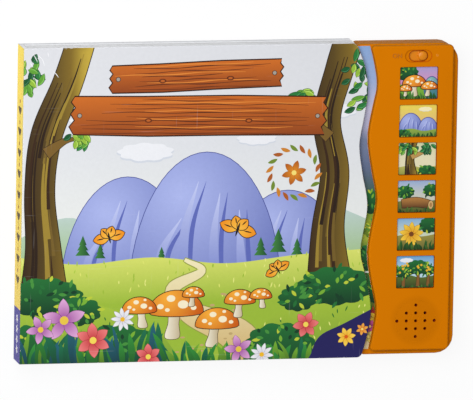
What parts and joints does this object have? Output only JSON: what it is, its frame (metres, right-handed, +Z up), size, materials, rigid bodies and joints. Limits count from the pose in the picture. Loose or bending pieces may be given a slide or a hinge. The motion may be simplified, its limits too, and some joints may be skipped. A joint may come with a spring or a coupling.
{
  "type": "sound book",
  "caption": "Board book with a wavy fore-edge and a plastic sound module beside it, with picture buttons, a speaker grille and a sliding switch.",
  "frame": {"origin": "middle of the bounding box at the back cover's outer face, on the surface that the book lies on", "axes": "+X from the spine to the sound module, +Y to the head of the book, +Z up through the front cover"},
  "size_m": [0.2988, 0.215, 0.022],
  "materials": {
    "cover_print": "laminated print on board",
    "spine_print": "laminated print on board",
    "page_board": "cut edges of coated board leaves",
    "module_plastic": "orange, semi-gloss moulded",
    "knob_plastic": "orange, semi-gloss moulded",
    "shelf_print": "printed adhesive strip",
    "button_plastic": "moulded",
    "button_print": "printed adhesive label",
    "circuit_laminate": "solder-masked laminate",
    "chip_resin": "black resin drop",
    "keypad_rubber": "moulded silicone",
    "screw_steel": "zinc plated",
    "contact_steel": "nickel plated strip",
    "cell_steel": "button cell can",
    "speaker_steel": "pressed, zinc plated",
    "magnet_ferrite": "sintered ferrite",
    "cone_paper": "black pulp cone",
    "gasket_foam": "black foam ring",
    "wire_red": "insulated wire",
    "wire_black": "insulated wire"
  },
  "bodies": {
    "book": {"back_cover": "cover_print", "spine": "spine_print", "page_block": "page_board", "front_shell": "module_plastic", "rear_shell": "module_plastic", "shelf_label": "shelf_print", "circuit_board": "circuit_laminate", "keypad_mat": "keypad_rubber", "chip_blob": "chip_resin", "switch_body": "contact_steel", "pcb_screw_1": "screw_steel", "pcb_screw_2": "screw_steel", "pcb_screw_3": "screw_steel", "pcb_screw_4": "screw_steel", "case_screw_1": "screw_steel", "case_screw_2": "screw_steel", "case_screw_3": "screw_steel", "case_screw_4": "screw_steel", "battery_door": "module_plastic", "battery_door_screw": "screw_steel", "battery_cell_1": "cell_steel", "battery_cell_2": "cell_steel", "battery_cell_3": "cell_steel", "battery_contact_positive": "contact_steel", "battery_contact_negative": "contact_steel", "battery_bridge_upper": "contact_steel", "battery_bridge_lower": "contact_steel", "speaker_gasket": "gasket_foam", "speaker_frame": "speaker_steel", "speaker_cone": "cone_paper", "speaker_magnet": "magnet_ferrite", "speaker_wire_red": "wire_red", "speaker_wire_black": "wire_black", "battery_wire_red": "wire_red", "battery_wire_black": "wire_black"},
    "cover": {"front_cover": "cover_print"},
    "key_1": {"button_1": "button_plastic", "button_label_1": "button_print"},
    "key_2": {"button_2": "button_plastic", "button_label_2": "button_print"},
    "key_3": {"button_3": "button_plastic", "button_label_3": "button_print"},
    "key_4": {"button_4": "button_plastic", "button_label_4": "button_print"},
    "key_5": {"button_5": "button_plastic", "button_label_5": "button_print"},
    "key_6": {"button_6": "button_plastic", "button_label_6": "button_print"},
    "switch": {"switch_knob": "knob_plastic"}
  },
  "joints": [
    {"name": "cover_hinge", "type": "hinge", "parent": "book", "child": "cover", "pos_m": [-0.1494, 0, 0.022], "axis": [0, -1, 0], "range_deg": [0, 180]},
    {"name": "button_1_press", "type": "slide", "parent": "book", "child": "key_1", "axis": [0, 0, -1], "range_m": [0, 0.001], "stiffness_N_per_m": 200, "springref_m": -0.002},
    {"name": "button_2_press", "type": "slide", "parent": "book", "child": "key_2", "axis": [0, 0, -1], "range_m": [0, 0.001], "stiffness_N_per_m": 200, "springref_m": -0.002},
    {"name": "button_3_press", "type": "slide", "parent": "book", "child": "key_3", "axis": [0, 0, -1], "range_m": [0, 0.001], "stiffness_N_per_m": 200, "springref_m": -0.002},
    {"name": "button_4_press", "type": "slide", "parent": "book", "child": "key_4", "axis": [0, 0, -1], "range_m": [0, 0.001], "stiffness_N_per_m": 200, "springref_m": -0.002},
    {"name": "button_5_press", "type": "slide", "parent": "book", "child": "key_5", "axis": [0, 0, -1], "range_m": [0, 0.001], "stiffness_N_per_m": 200, "springref_m": -0.002},
    {"name": "button_6_press", "type": "slide", "parent": "book", "child": "key_6", "axis": [0, 0, -1], "range_m": [0, 0.001], "stiffness_N_per_m": 200, "springref_m": -0.002},
    {"name": "switch_slide", "type": "slide", "parent": "book", "child": "switch", "axis": [-1, 0, 0], "range_m": [0, 0.005]}
  ]
}
